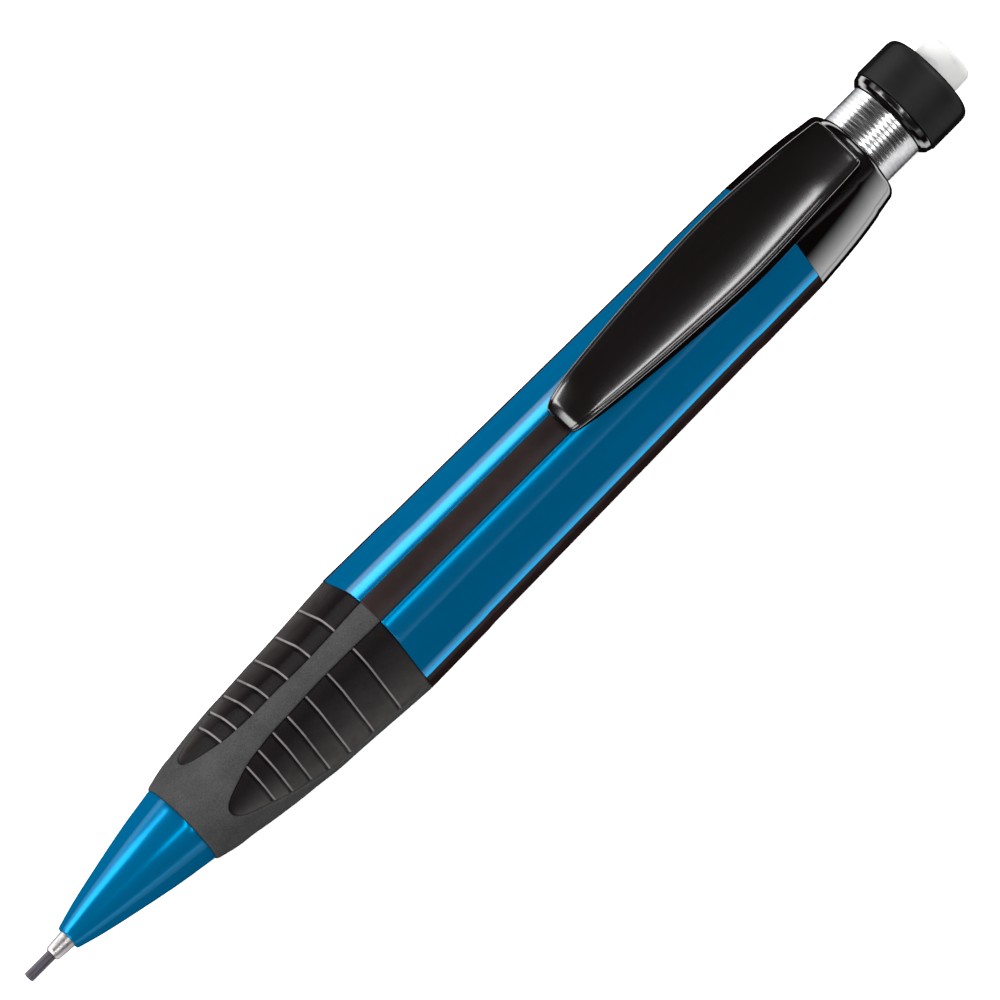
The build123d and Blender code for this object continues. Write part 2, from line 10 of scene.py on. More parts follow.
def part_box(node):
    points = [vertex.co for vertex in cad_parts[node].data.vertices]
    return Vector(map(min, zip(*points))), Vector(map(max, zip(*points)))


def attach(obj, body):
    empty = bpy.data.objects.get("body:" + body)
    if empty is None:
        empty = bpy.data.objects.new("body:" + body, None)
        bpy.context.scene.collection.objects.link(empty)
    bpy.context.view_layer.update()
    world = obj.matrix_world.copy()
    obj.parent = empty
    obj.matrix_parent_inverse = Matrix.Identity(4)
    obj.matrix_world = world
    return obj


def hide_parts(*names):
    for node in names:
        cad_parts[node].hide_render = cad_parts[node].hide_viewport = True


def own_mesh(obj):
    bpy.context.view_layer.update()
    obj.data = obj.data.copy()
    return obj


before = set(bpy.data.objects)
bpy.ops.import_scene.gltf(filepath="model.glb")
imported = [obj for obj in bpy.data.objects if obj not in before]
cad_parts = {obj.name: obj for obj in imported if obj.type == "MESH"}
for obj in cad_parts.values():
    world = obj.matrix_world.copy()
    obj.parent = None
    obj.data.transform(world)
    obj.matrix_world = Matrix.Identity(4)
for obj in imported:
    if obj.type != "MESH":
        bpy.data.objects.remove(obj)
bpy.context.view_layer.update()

MM = 0.001

# ------------------------------------------------------------------ the pencil's own coordinates
# A station is a distance in millimetres from the point of the lead; radii are millimetres too.
START_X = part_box("lead")[0].x
KNOB_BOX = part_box("knob")
AXIS_Z = (KNOB_BOX[0].z + KNOB_BOX[1].z) / 2


def station_of(node, end):
    """Station of a node's front (0) or rear (1) end."""
    return (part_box(node)[end].x - START_X) / MM


def radius_of(node):
    lo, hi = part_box(node)
    return (hi.y - lo.y) / 2 / MM


def polar(station, angle, radius):
    """Point in the row frame; angle 0 is the pencil's left (+Y), pi/2 is its top."""
    return Vector((
        START_X + station * MM,
        radius * cos(angle) * MM,
        AXIS_Z + radius * sin(angle) * MM,
    ))


GRIP_START = station_of("grip_sleeve", 0)
GRIP_END = station_of("grip_sleeve", 1)
CAP_START = station_of("barrel", 1)
CAP_END = station_of("end_cap", 1)

# Soft triangle of grip, barrel and cap: (station, distance of the corner centres from the axis,
# radius of the corners)
GRIP_SECTIONS = [
    (GRIP_START, 0.10, 5.45),
    (28.2, 0.30, 6.05),
    (31.6, 0.96, 5.94),
    (35.0, 1.75, 5.68),
    (38.3, 2.69, 5.15),
    (42.5, 3.55, 4.78),
    (GRIP_END, 3.92, 5.26),
]
BODY_SECTIONS = [
    (GRIP_END, 3.92, 5.26),
    (CAP_START, 3.36, 4.94),
]
CAP_SECTIONS = [
    (CAP_START, 3.36, 4.94),
    (123.2, 2.79, 5.12),
    (126.6, 2.27, 5.22),
    (CAP_END, 1.45, 5.10),
]
CORNERS = {"top": pi / 2, "left": -pi / 6, "right": pi * 7 / 6}


def smooth(points, x):
    """Value at x of a smooth curve through (x, y) points, without overshoot."""
    if x <= points[0][0]:
        return points[0][1]
    if x >= points[-1][0]:
        return points[-1][1]
    slopes = [(b[1] - a[1]) / (b[0] - a[0]) for a, b in zip(points, points[1:])]
    tangents = [slopes[0]]
    for before, after in zip(slopes, slopes[1:]):
        tangents.append(0 if before * after <= 0 else 2 * before * after / (before + after))
    tangents.append(slopes[-1])
    for i, (a, b) in enumerate(zip(points, points[1:])):
        if x <= b[0]:
            h = b[0] - a[0]
            t = (x - a[0]) / h
            return (
                a[1] * (2 * t**3 - 3 * t**2 + 1)
                + h * tangents[i] * (t**3 - 2 * t**2 + t)
                + b[1] * (3 * t**2 - 2 * t**3)
                + h * tangents[i + 1] * (t**3 - t**2)
            )


def section(sections, station):
    """Corner distance and corner radius at a station."""
    spread = smooth([(s, a) for s, a, r in sections], station)
    corner = smooth([(s, r) for s, a, r in sections], station)
    return spread, corner


def outline(spread, corner, angle):
    """Distance of the soft triangle's outline from the axis, at an angle."""
    off_corner = min(
        abs((angle - direction + pi) % (2 * pi) - pi) for direction in CORNERS.values()
    )
    arc_end = atan2(corner * sin(pi / 3), spread + corner / 2)
    if off_corner > arc_end:
        return (corner + spread / 2) / cos(pi / 3 - off_corner)
    return spread * cos(off_corner) + sqrt(corner**2 - (spread * sin(off_corner)) ** 2)


def corner_angle(spread, corner, direction, turn):
    """Angle at the axis of the point that lies `turn` radians round the corner's own arc."""
    return direction + atan2(corner * sin(turn), spread + corner * cos(turn))


def face_angle(spread, corner, face, height):
    """Angle at the axis of the point on a face whose height along the face is given."""
    side = abs(height)
    flat = spread * sin(pi / 3)
    if side <= flat:
        depth = corner + spread / 2
    else:
        depth = spread / 2 + sqrt(max(corner**2 - (side - flat) ** 2, 0.01))
    return face + atan2(height, depth)


# ------------------------------------------------------------------ mesh helpers
WELD = 2e-7  # metres


def make_object(name, vertices, faces, sharp=40):
    """Welded mesh object, smooth but for edges sharper than `sharp` degrees."""
    mesh = bpy.data.meshes.new(name)
    mesh.from_pydata([tuple(v) for v in vertices], [], faces)
    mesh.validate()
    obj = bpy.data.objects.new(name, mesh)
    bpy.context.scene.collection.objects.link(obj)
    bm = bmesh.new()
    bm.from_mesh(mesh)
    bmesh.ops.remove_doubles(bm, verts=bm.verts, dist=WELD)
    bmesh.ops.recalc_face_normals(bm, faces=bm.faces)
    bm.to_mesh(mesh)
    bm.free()
    mesh.polygons.foreach_set("use_smooth", [True] * len(mesh.polygons))
    mesh.set_sharp_from_angle(angle=radians(sharp))
    mesh.update()
    return obj


def grid_faces(rows, columns, closed_rows=False, closed_columns=False):
    """Quads between the points of a grid, kept row by row."""
    faces = []
    for i in range(rows if closed_rows else rows - 1):
        for j in range(columns if closed_columns else columns - 1):
            k, m = (i + 1) % rows, (j + 1) % columns
            faces.append((i * columns + j, k * columns + j, k * columns + m, i * columns + m))
    return faces


def rounded(points, steps=6):
    """Outline of (station, radius, corner radius) points, its corners turned into arcs."""
    result = []
    n = len(points)
    for i, (x, y, bend) in enumerate(points):
        if not bend:
            result.append((x, y))
            continue
        here = Vector((x, y))
        back = Vector(points[i - 1][:2]) - here
        ahead = Vector(points[(i + 1) % n][:2]) - here
        half = back.angle(ahead) / 2
        reach = min(bend / tan(half), back.length * 0.49, ahead.length * 0.49)
        a = here + back.normalized() * reach
        b = here + ahead.normalized() * reach
        for k in range(steps + 1):
            t = k / steps
            result.append(tuple(a * (1 - t) ** 2 + here * 2 * t * (1 - t) + b * t**2))
    return result


def lathe(name, profile, segments=144, sharp=40):
    """Closed piece turned about the pencil's axis from a closed (station, radius) outline."""
    rows = []
    for k in range(segments):
        angle = 2 * pi * k / segments
        rows += [polar(x, angle, y) for x, y in profile]
    return make_object(name, rows, grid_faces(segments, len(profile), True, True), sharp)


def spread_out(a, b, count):
    """Evenly spaced numbers from a to b."""
    return [a + (b - a) * k / (count - 1) for k in range(count)]


def tube(name, stations, columns_at, surface, bore, sharp=40):
    """Closed tube round a plain bore.

    Its outer skin has the columns of columns_at(station), as (angle, drop below the surface).
    """
    skin = []
    hollow = []
    for station in stations:
        columns = columns_at(station)
        width = len(columns)
        skin += [polar(station, angle, surface(station, angle) - drop) for angle, drop in columns]
        hollow += [polar(station, angle, bore) for angle, drop in columns]
    rows = len(stations)
    faces = grid_faces(rows, width, False, True)
    offset = len(skin)
    faces += [tuple(offset + v for v in reversed(f)) for f in grid_faces(rows, width, False, True)]
    for j in range(width):
        m = (j + 1) % width
        faces.append((j, m, offset + m, offset + j))
        end = (rows - 1) * width
        faces.append((end + j, offset + end + j, offset + end + m, end + m))
    return make_object(name, skin + hollow, faces, sharp)


def patch(name, rows, depth, sharp=50, painted_light_mark=None):
    """Closed slab from rows of (station, angle, radius), `depth` thick towards the axis.

    wear is a function of the station and of how far down its row a point is, kept on the mesh
    for the material to show as painted light, a paler tone.
    """
    outer = [polar(s, a, r) for row in rows for s, a, r in row]
    inner = [polar(s, a, r - depth) for row in rows for s, a, r in row]
    count, width = len(rows), len(rows[0])
    offset = len(outer)
    faces = grid_faces(count, width)
    faces += [tuple(offset + v for v in reversed(f)) for f in grid_faces(count, width)]
    rim = list(range(width))
    rim += [i * width + width - 1 for i in range(1, count)]
    rim += [(count - 1) * width + j for j in range(width - 2, -1, -1)]
    rim += [i * width for i in range(count - 2, 0, -1)]
    for a, b in zip(rim, rim[1:] + rim[:1]):
        faces.append((a, b, offset + b, offset + a))
    piece = make_object(name, outer + inner, faces, sharp)
    if painted_light_mark:
        shown = piece.data.attributes.new("painted_light_mark", "FLOAT", "POINT")
        values = []
        for row in rows:
            heights = [polar(*point).z for point in row]
            top, span = max(heights), max(heights) - min(heights)
            values += [painted_light_mark(point[0], (top - z) / span) for point, z in zip(row, heights)]
        for item, value in zip(shown.data, values + values):
            item.value = value
    return piece


def mark_faces(piece, sections, crest, foot):
    """Keeps two marks on the mesh for the material to show, each rising from 0 to 1.

    crest rises beside the top corner and foot towards the lower corners; each is given as
    (start, full) in millimetres along the face, from the end of its flat part.
    """
    shown = [piece.data.attributes.new(name, "FLOAT", "POINT") for name in ("crest", "foot")]
    for index, vertex in enumerate(piece.data.vertices):
        side, up = abs(vertex.co.y) / MM, (vertex.co.z - AXIS_Z) / MM
        flat = section(sections, (vertex.co.x - START_X) / MM)[0] * sin(pi / 3)
        height = up * sin(pi / 3) - side / 2
        for mark, past, (start, full) in zip(shown, (height - flat, -height - flat), (crest, foot)):
            mark.data[index].value = min(1, max(0, (past - start) / (full - start)))


def put(piece, body, node, material):
    """Lets a piece ride on a body, in place of a CAD node and material."""
    piece.data.materials.clear()
    piece.data.materials.append(material)
    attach(piece, body)
    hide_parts(node)
    return piece


# ------------------------------------------------------------------ materials
class Shader:
    """Short-hand for building one Principled material on the piece's own coordinates."""

    def __init__(self, name, **values):
        self.material = bpy.data.materials.new(name)
        self.material.use_nodes = True
        self.nodes = self.material.node_tree.nodes
        self.links = self.material.node_tree.links
        self.bsdf = self.nodes["Principled BSDF"]
        for key, value in values.items():
            socket = self.bsdf.inputs[key.replace("_", " ")]
            socket.default_value = (*value, 1) if isinstance(value, tuple) else value
        self.place = self.nodes.new("ShaderNodeTexCoord").outputs["Object"]
        self.height = None

    def stretched(self, x, y, z):
        """Coordinates scaled along each axis, for grain that runs one way."""
        node = self.nodes.new("ShaderNodeMapping")
        node.inputs["Scale"].default_value = (x, y, z)
        self.links.new(self.place, node.inputs["Vector"])
        return node.outputs["Vector"]

    def noise(self, size, detail=3, place=None, roughness=0.55):
        """Noise whose blobs are about `size` millimetres across."""
        node = self.nodes.new("ShaderNodeTexNoise")
        node.inputs["Scale"].default_value = 1 / (size * MM)
        node.inputs["Detail"].default_value = detail
        node.inputs["Roughness"].default_value = roughness
        self.links.new(place or self.place, node.inputs["Vector"])
        return node.outputs["Fac"]

    def cells(self, size):
        """Distance to the middle of cells about `size` millimetres across."""
        node = self.nodes.new("ShaderNodeTexVoronoi")
        node.inputs["Scale"].default_value = 1 / (size * MM)
        self.links.new(self.place, node.inputs["Vector"])
        return node.outputs["Distance"]

    def ramp(self, source, low, high, a, b):
        """Maps source from low..high to a..b."""
        node = self.nodes.new("ShaderNodeMapRange")
        node.inputs["From Min"].default_value = low
        node.inputs["From Max"].default_value = high
        node.inputs["To Min"].default_value = a
        node.inputs["To Max"].default_value = b
        self.links.new(source, node.inputs["Value"])
        return node.outputs["Result"]

    def mix(self, factor, colour_a, colour_b):
        """Colour between two, each a plain colour or a socket."""
        node = self.nodes.new("ShaderNodeMix")
        node.data_type = "RGBA"
        for index, colour in ((6, colour_a), (7, colour_b)):
            if isinstance(colour, tuple):
                node.inputs[index].default_value = (*colour, 1)
            else:
                self.links.new(colour, node.inputs[index])
        self.links.new(factor, node.inputs[0])
        return node.outputs[2]

    def math(self, operation, a, b):
        """Result of a Math node; a and b are numbers or sockets."""
        node = self.nodes.new("ShaderNodeMath")
        node.operation = operation
        for index, value in enumerate((a, b)):
            if isinstance(value, (int, float)):
                node.inputs[index].default_value = value
            else:
                self.links.new(value, node.inputs[index])
        return node.outputs[0]

    def facing(self, low, high, a, b):
        """Maps how far the surface turns away from the eye, 0 to 1, from low..high to a..b."""
        node = self.nodes.new("ShaderNodeLayerWeight")
        node.inputs["Blend"].default_value = 0.5
        return self.ramp(node.outputs["Facing"], low, high, a, b)

    def facing_band(self, start, full, fade, end):
        """1 in the band where the surface begins to turn away, 0 before and after."""
        return self.math("MULTIPLY", self.facing(start, full, 0, 1), self.facing(fade, end, 1, 0))

    def mark(self, name):
        """A mark kept on the mesh; 0 where the piece has none."""
        node = self.nodes.new("ShaderNodeAttribute")
        node.attribute_name = name
        return node.outputs["Fac"]

    def sheen(self, level, low, high, polished=None):
        """Specular level that fades where the surface turns away, but not where it is polished."""
        gloss = self.facing(low, high, level, 0)
        if polished is not None:
            gloss = self.math("MAXIMUM", gloss, polished)
        self.links.new(gloss, self.bsdf.inputs["Specular IOR Level"])

    def colour(self, socket):
        self.links.new(socket, self.bsdf.inputs["Base Color"])

    def rough(self, socket):
        self.links.new(socket, self.bsdf.inputs["Roughness"])

    def bump(self, source, height):
        """Adds relief of `height` millimetres; calls add up."""
        node = self.nodes.new("ShaderNodeBump")
        node.inputs["Strength"].default_value = 1.0
        node.inputs["Distance"].default_value = height * MM
        self.links.new(source, node.inputs["Height"])
        if self.height is not None:
            self.links.new(self.height, node.inputs["Normal"])
        self.height = node.outputs["Normal"]
        self.links.new(self.height, self.bsdf.inputs["Normal"])


# Limits of how far the surface turns away, for the polish beside the corners of the body
CREST_START, CREST_FULL, CREST_SHARE = 0.10, 0.22, 0.6
FOOT_FADE, FOOT_END, FOOT_POWER = 0.42, 0.52, 1.6


def gloss_plastic(name, deep, light, tint, roughness, sheen, polish, band=None):
    """Polished moulding: faint flow marks, orange peel and fine handling scratches.

    polish is the specular level at the marks "crest" and "foot", and all over the piece in the
    band of facing_band(*band).
    """
    s = Shader(name, IOR=1.5, Specular_Tint=tint)
    flow = s.noise(9, 4, s.stretched(0.25, 1, 1))
    s.colour(s.mix(s.ramp(flow, 0.35, 0.65, 0, 1), deep, light))
    turned = s.facing(CREST_START, CREST_FULL, 0, CREST_SHARE)
    crest = s.math("MULTIPLY", s.mark("crest"), turned)
    mark = s.math("POWER", s.mark("foot"), FOOT_POWER)
    foot = s.math("MULTIPLY", mark, s.facing(FOOT_FADE, FOOT_END, 1, 0))
    polished = s.math("MAXIMUM", crest, foot)
    if band:
        polished = s.math("MAXIMUM", polished, s.facing_band(*band))
    s.sheen(*sheen, s.math("MULTIPLY", polished, polish))
    scratches = s.noise(0.5, 5, s.stretched(0.06, 1.6, 1.6), 0.7)
    s.rough(s.ramp(scratches, 0.3, 0.8, roughness * 0.94, roughness * 1.1))
    s.bump(s.noise(1.4, 2), 0.002)
    s.bump(scratches, 0.0002)
    return s.material


def soft_rubber(name, dark, pale, roughness, sheen, painted_light_colour=None):
    """Matte rubber: fine eroded grain, cloudy tone, and painted light: the paler colour
    `painted_light_colour` at the mark "wear".
    """
    s = Shader(name)
    grain = s.noise(0.16, 4, roughness=0.7)
    cloud = s.noise(3.5, 3)
    tone = s.math("ADD", s.math("MULTIPLY", grain, 0.7), s.math("MULTIPLY", cloud, 0.3))
    colour = s.mix(s.ramp(tone, 0.38, 0.64, 0, 1), dark, pale)
    # painted light: the paler colour where the mesh is marked, patchy along its length
    if painted_light_colour:
        patchy = s.ramp(s.noise(2.5, 2), 0.35, 0.6, 0.7, 1)
        colour = s.mix(s.math("MULTIPLY", s.mark("painted_light_mark"), patchy), colour, painted_light_colour)
    s.colour(colour)
    s.sheen(*sheen)
    s.rough(s.ramp(grain, 0.3, 0.7, roughness + 0.1, roughness - 0.08))
    s.bump(s.cells(0.2), 0.008)
    s.bump(grain, 0.014)
    return s.material


def matte_plastic(name, dark, pale, roughness, sheen):
    """Spark-eroded moulding: an even fine texture."""
    s = Shader(name)
    grain = s.noise(0.13, 3)
    cloud = s.ramp(s.noise(5, 3), 0.35, 0.65, 0, 1)
    s.colour(s.mix(cloud, dark, pale))
    s.sheen(*sheen)
    s.rough(s.ramp(grain, 0.3, 0.7, roughness - 0.06, roughness + 0.08))
    s.bump(grain, 0.006)
    return s.material


def turned_metal(name, colour, shade, roughness):
    """Plated or turned metal with fine lines round the axis; its tint darkens the rim."""
    s = Shader(name, Metallic=1.0, Specular_Tint=(0.08, 0.08, 0.08))
    lines = s.noise(0.05, 3, s.stretched(1, 0.02, 0.02))
    stain = s.noise(2.5, 3)
    s.colour(s.mix(s.ramp(stain, 0.4, 0.7, 0, 1), colour, shade))
    s.rough(s.ramp(lines, 0.3, 0.7, roughness * 0.7, roughness * 1.5))
    s.bump(lines, 0.0004)
    return s.material


def lead_material(name):
    """Polymer lead: dark, satin, drawn lengthwise."""
    s = Shader(name)
    streaks = s.noise(0.12, 4, s.stretched(0.05, 1, 1))
    s.colour(s.mix(
        s.ramp(streaks, 0.35, 0.65, 0, 1), (0.010, 0.008, 0.012), (0.026, 0.021, 0.030),
    ))
    s.sheen(0.25, 0.3, 0.7)
    s.rough(s.ramp(streaks, 0.3, 0.7, 0.34, 0.5))
    s.bump(streaks, 0.006)
    return s.material


def eraser_material(name):
    """Off-white vinyl: chalky, with faint graphite smears."""
    s = Shader(name)
    smear = s.noise(2.2, 5, s.stretched(1, 0.5, 0.5))
    s.colour(s.mix(
        s.ramp(smear, 0.52, 0.74, 0, 1), (0.33, 0.33, 0.325), (0.22, 0.22, 0.23),
    ))
    s.sheen(0.3, 0.3, 0.7)
    s.rough(s.ramp(s.noise(0.3, 3), 0.3, 0.7, 0.62, 0.8))
    s.bump(s.noise(0.25, 4), 0.010)
    return s.material


WHITE = (1.0, 1.0, 1.0)
SKY_BLUE = (0.0, 0.50, 1.0)
# Two colours each, then the tint of a gloss, the roughness, and the sheen as (level, start and
# end of its fading). A gloss ends with its polish and, on the black, the band of the polish.
blue = gloss_plastic(
    "blue_plastic", (0.0, 0.037, 0.086), (0.0, 0.042, 0.096), SKY_BLUE, 0.20,
    (0.9, 0.10, 0.31), 3.6,
)
black_gloss = gloss_plastic(
    "black_gloss", (0.0012, 0.0008, 0.0008), (0.0022, 0.0014, 0.0015), WHITE, 0.17,
    (0.5, 0.10, 0.30), 1.8, (0.43, 0.52, 0.56, 0.64),
)
strip_dark = matte_plastic(
    "dark_strip", (0.006, 0.0032, 0.0032), (0.009, 0.005, 0.005), 0.45, (0.08, 0.2, 0.5),
)
black_matte = matte_plastic(
    "black_matte", (0.0022, 0.0022, 0.0022), (0.0035, 0.0035, 0.0035), 0.5, (0.08, 0.2, 0.6),
)
grip_grey = soft_rubber(
    "grip_grey", (0.0170, 0.0168, 0.0172), (0.032, 0.0318, 0.0322), 0.75, (0.08, 0.05, 0.3),
)
# the last colour is the paler tone of the painted highlight on the groove chamfers and the painted
# light low on the pads
grip_black = soft_rubber(
    "grip_black", (0.0020, 0.0014, 0.0015), (0.0044, 0.0032, 0.0034), 0.5, (0.04, 0.2, 0.5),
    (0.100, 0.092, 0.092),
)
chrome = turned_metal("button_chrome", (0.32, 0.32, 0.325), (0.22, 0.22, 0.225), 0.22)
tip_plate = turned_metal("plated_tip", (0.24, 0.23, 0.23), (0.18, 0.17, 0.17), 0.34)
brass = turned_metal("brass", (0.72, 0.52, 0.22), (0.55, 0.38, 0.15), 0.3)
steel = turned_metal("spring_steel", (0.6, 0.6, 0.62), (0.45, 0.45, 0.47), 0.25)
graphite = lead_material("graphite_lead")
vinyl = eraser_material("eraser_white")
PLAIN_SHEEN = (0.4, 0.4, 0.8)
bush = soft_rubber("bush_rubber", (0.01, 0.01, 0.01), (0.02, 0.02, 0.02), 0.7, PLAIN_SHEEN)
natural = matte_plastic("inner_plastic", (0.55, 0.56, 0.57), (0.64, 0.65, 0.65), 0.4, PLAIN_SHEEN)
semi_clear = matte_plastic("tube_plastic", (0.42, 0.47, 0.5), (0.5, 0.55, 0.57), 0.3, PLAIN_SHEEN)

# pieces inside, shown by their CAD shapes
for node, material in {
    "lead_retainer": bush, "chuck": brass, "clutch_ring": brass, "mechanism_sleeve": natural,
    "chuck_connector": natural, "reservoir_tube": semi_clear, "spare_lead_left": graphite,
    "spare_lead_right": graphite, "lead_plug": natural, "twist_tube": natural,
    "eraser_carrier": natural,
}.items():
    cad_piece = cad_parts[node]
    cad_piece.data.materials.clear()
    cad_piece.data.materials.append(material)

# ------------------------------------------------------------------ writing end
LEAD_RADIUS = 0.65
ON_AXIS = 0.001  # radius of the points that close a solid end
LEAD_END = station_of("lead", 1)
SLEEVE_START = station_of("tip_sleeve", 0)
NOSE_START = station_of("nose_cone", 0)
NOSE_END = station_of("nose_cone", 1)

put(
    lathe("writing_lead", rounded([
        (0.0, ON_AXIS, 0), (0.0, 0.52, 0.1), (0.12, LEAD_RADIUS, 0.1),
        (LEAD_END, LEAD_RADIUS, 0.05), (LEAD_END, ON_AXIS, 0),
    ]), 64),
    "lead", "lead", graphite,
)
put(
    lathe("tip_tube", rounded([
        (SLEEVE_START, 0.70, 0.03), (SLEEVE_START, 0.84, 0.06), (4.05, 0.98, 0.15),
        (NOSE_START - 0.25, 1.11, 0.1), (10.4, 1.12, 0), (10.4, 1.60, 0.05),
        (11.4, 1.60, 0.05), (11.4, 0.70, 0),
    ]), 96),
    "tip", "tip_sleeve", tip_plate,
)
NOSE_SHAPE = [(NOSE_START, 1.56), (9.5, 2.44), (14.6, 3.56), (19.7, 4.56), (GRIP_START, 5.28)]
nose_flank = [
    (station, smooth(NOSE_SHAPE, station), 0)
    for station in spread_out(NOSE_START + 0.3, GRIP_START - 0.3, 40)
]
put(
    lathe("nose_shell", rounded(
        [(NOSE_START, 1.13, 0.03), (NOSE_START, 1.52, 0.12)]
        + nose_flank
        + [
            (GRIP_START - 0.02, 5.24, 0.12), (GRIP_START, 3.65, 0), (NOSE_END, 3.65, 0.2),
            (NOSE_END, 3.05, 0), (21.5, 3.05, 0), (21.5, 2.72, 0), (17.5, 2.72, 0),
            (17.5, 2.05, 0), (14.2, 2.05, 0), (14.2, 1.75, 0), (11.4, 1.75, 0),
            (11.4, 1.61, 0), (10.4, 1.61, 0), (10.4, 1.13, 0),
        ]
    ), 180),
    "nose", "nose_cone", blue,
)

# return spring: a wire wound round the axis, squashed by the push button
SPRING_START, SPRING_END = station_of("return_spring", 0), station_of("return_spring", 1)
SPRING_WIRE, SPRING_RADIUS, SPRING_TURNS, SPRING_STEPS = 0.2, 1.85, 8, 28
WIRE_SIDES = 10
wire_points = []
spring_rows = SPRING_TURNS * SPRING_STEPS + 1
spring_rise = SPRING_END - SPRING_START - 2 * SPRING_WIRE
for i in range(spring_rows):
    turn = 2 * pi * i / SPRING_STEPS
    at = SPRING_START + SPRING_WIRE + spring_rise * i / (spring_rows - 1)
    for k in range(WIRE_SIDES):
        bend = 2 * pi * k / WIRE_SIDES
        wire_points.append(
            polar(at + SPRING_WIRE * sin(bend), turn, SPRING_RADIUS + SPRING_WIRE * cos(bend))
        )
wire_faces = grid_faces(spring_rows, WIRE_SIDES, False, True)
last = (spring_rows - 1) * WIRE_SIDES
wire_faces += [tuple(range(WIRE_SIDES)), tuple(range(last, last + WIRE_SIDES))]
spring = put(
    make_object("spring_wire", wire_points, wire_faces, 60),
    "barrel", "return_spring", steel,
)
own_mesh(spring)

# ------------------------------------------------------------------ barrel and its strips
STRIP_TURN = {"top": radians(18.5), "left": radians(57), "right": radians(57)}
STRIP_DEPTH = 0.6
BARREL_BORE = 5.4
SEAM = 0.03
# edge rounding of barrel, strips and cap: (distance from the edge, drop)
EDGE_ROUND = [(0.0, 0.07), (0.03, 0.03), (0.08, 0.008), (0.15, 0.0)]


def eased(count, width):
    """Offsets over a width, with the close-set edge steps of EDGE_ROUND at both ends."""
    steps = [e for e, drop in EDGE_ROUND]
    middle = spread_out(steps[-1], width - steps[-1], count)
    return steps[:-1] + middle + [width - e for e in reversed(steps[:-1])]


def edge_drop(offset, width):
    """How far a rounded edge has fallen at an offset across the piece."""
    near = min(offset, width - offset)
    return smooth([(e, drop) for e, drop in EDGE_ROUND], max(near, 0))


def land(start, end, radius, count):
    """Columns from one angle to another, its two edges rounded, as (angle, drop)."""
    width = (end - start) * radius
    return [(start + e / radius, edge_drop(e, width)) for e in eased(count, width)]


def strip_limits(station, name):
    """Angles between which a strip lies."""
    spread, corner = section(BODY_SECTIONS, station)
    turn = STRIP_TURN[name]
    return tuple(corner_angle(spread, corner, CORNERS[name], s * turn) for s in (-1, 1))


def barrel_columns(station):
    """Three faces between pockets for the strips, going round from the top strip."""
    spread, corner = section(BODY_SECTIONS, station)
    top, right, left = (strip_limits(station, name) for name in ("top", "right", "left"))
    radius = spread + corner
    limits = [
        (top[1], right[0]), (right[1], left[0] + 2 * pi), (left[1] + 2 * pi, top[0] + 2 * pi),
    ]
    columns = []
    for i, (a, b) in enumerate(limits):
        columns += land(a, b, radius, 40)
        following = limits[(i + 1) % 3][0] + (2 * pi if i == 2 else 0)
        columns += [(angle, STRIP_DEPTH) for angle in spread_out(b + 0.002, following - 0.002, 10)]
    return columns


def body_surface(station, angle):
    """Radius of the barrel's skin, its two ends rounded."""
    spread, corner = section(BODY_SECTIONS, station)
    end = min(station - GRIP_END, CAP_START - station)
    return outline(spread, corner, angle) - edge_drop(max(end, 0), 10)


BODY_LENGTH = CAP_START - GRIP_END
body_stations = [GRIP_END + e for e in eased(50, BODY_LENGTH)]
barrel_shell = tube("barrel_shell", body_stations, barrel_columns, body_surface, BARREL_BORE)
mark_faces(barrel_shell, BODY_SECTIONS, (0.9, 2.4), (-1.3, 0.0))
put(barrel_shell, "barrel", "barrel", blue)
for name in CORNERS:
    rows = []
    for station in body_stations:
        spread, corner = section(BODY_SECTIONS, station)
        a, b = strip_limits(station, name)
        radius = spread + corner
        gap = SEAM / radius
        rows.append([
            (station, angle, body_surface(station, angle) - drop)
            for angle, drop in land(a + gap, b - gap, radius, 24)
        ])
    put(
        patch(f"strip_{name}", rows, STRIP_DEPTH - 0.1),
        "barrel", f"barrel_strip_{name}", strip_dark,
    )

# ------------------------------------------------------------------ grip
PAD_START = 28.5
PAD_END = GRIP_END
PAD_DEPTH = 0.95
PAD_RECESS = 0.16
PAD_SLAB = 0.32
PAD_COLUMNS = 41
GRIP_BORE = 4.6
LIP_LENGTH, LIP_DROP = 0.5, 0.22
GROOVES = [33.1, 35.3, 37.8, 40.2, 43.2, 46.7, 50.7]
# one groove along the pencil: (offset, depth); its wall on the eraser side is chamfered
GROOVE_SHAPE = [
    (-0.32, 0.0), (-0.26, 0.03), (-0.20, 0.34), (0.04, 0.40), (0.09, 0.20), (0.13, 0.14),
    (0.20, 0.09), (0.28, 0.04), (0.34, 0.015), (0.42, 0.0),
]
CHAMFER = (0.11, 0.30)
# edges of the pads by height on their face, against the root of the distance from the tip
UPPER_EDGE = [(0.0, 2.1), (1.58, 4.0), (2.45, 5.2), (4.06, 6.5), (5.17, 6.95)]
LOWER_EDGE = [(0.0, 2.1), (1.22, 0.2), (2.0, -1.0), (3.05, -3.4), (3.61, -4.7), (5.17, -5.5)]
BOTTOM_EDGE = [(0.0, 0.0), (0.7, 1.94), (1.22, 3.24), (1.87, 4.57), (2.74, 5.4), (5.17, 5.4)]


def grip_surface(station, angle):
    """Radius of the grip without its pads, its front lip and rear edge rounded."""
    spread, corner = section(GRIP_SECTIONS, station)
    distance = outline(spread, corner, angle)
    lip = station - GRIP_START
    if lip < LIP_LENGTH:
        distance -= LIP_DROP * (1 - sqrt(max(0, 1 - (1 - lip / LIP_LENGTH) ** 2)))
    rear = GRIP_END - station
    return distance - (edge_drop(max(rear, 0), 10) if rear < 0.2 else 0)


